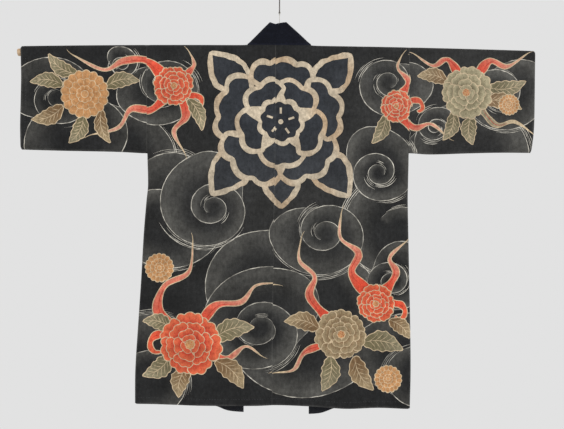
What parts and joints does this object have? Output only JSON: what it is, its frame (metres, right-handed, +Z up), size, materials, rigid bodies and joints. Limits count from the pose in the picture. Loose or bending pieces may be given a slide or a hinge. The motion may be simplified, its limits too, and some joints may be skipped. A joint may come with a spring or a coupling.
{
  "type": "kimono coat hung on a wooden rod",
  "caption": "Short kimono-style cotton work coat seen from the back, with box sleeves and a doubled collar band, hung flat on a wooden rod from a wire hook.",
  "frame": {"origin": "centre of the hook's eye, the point the whole thing hangs from", "axes": "+Z up; +X along the rod, towards the wearer's right sleeve; the coat's back faces -Y and its open front +Y"},
  "size_m": [1.2866, 0.027, 1.0521],
  "materials": {
    "dyed_cotton": "matt, dyed",
    "navy_cotton": "matt",
    "pale_wood": "planed, unvarnished",
    "dark_steel": "dull",
    "pale_thread": "matt, twisted"
  },
  "bodies": {
    "root": {"body_left": "dyed_cotton", "body_right": "dyed_cotton", "sleeve_left": "dyed_cotton", "sleeve_right": "dyed_cotton", "collar": "navy_cotton", "rod": "pale_wood", "hook": "dark_steel", "hook_loop": "pale_thread", "rod_loop": "pale_thread", "hanging_thread": "pale_thread"}
  },
  "joints": []
}
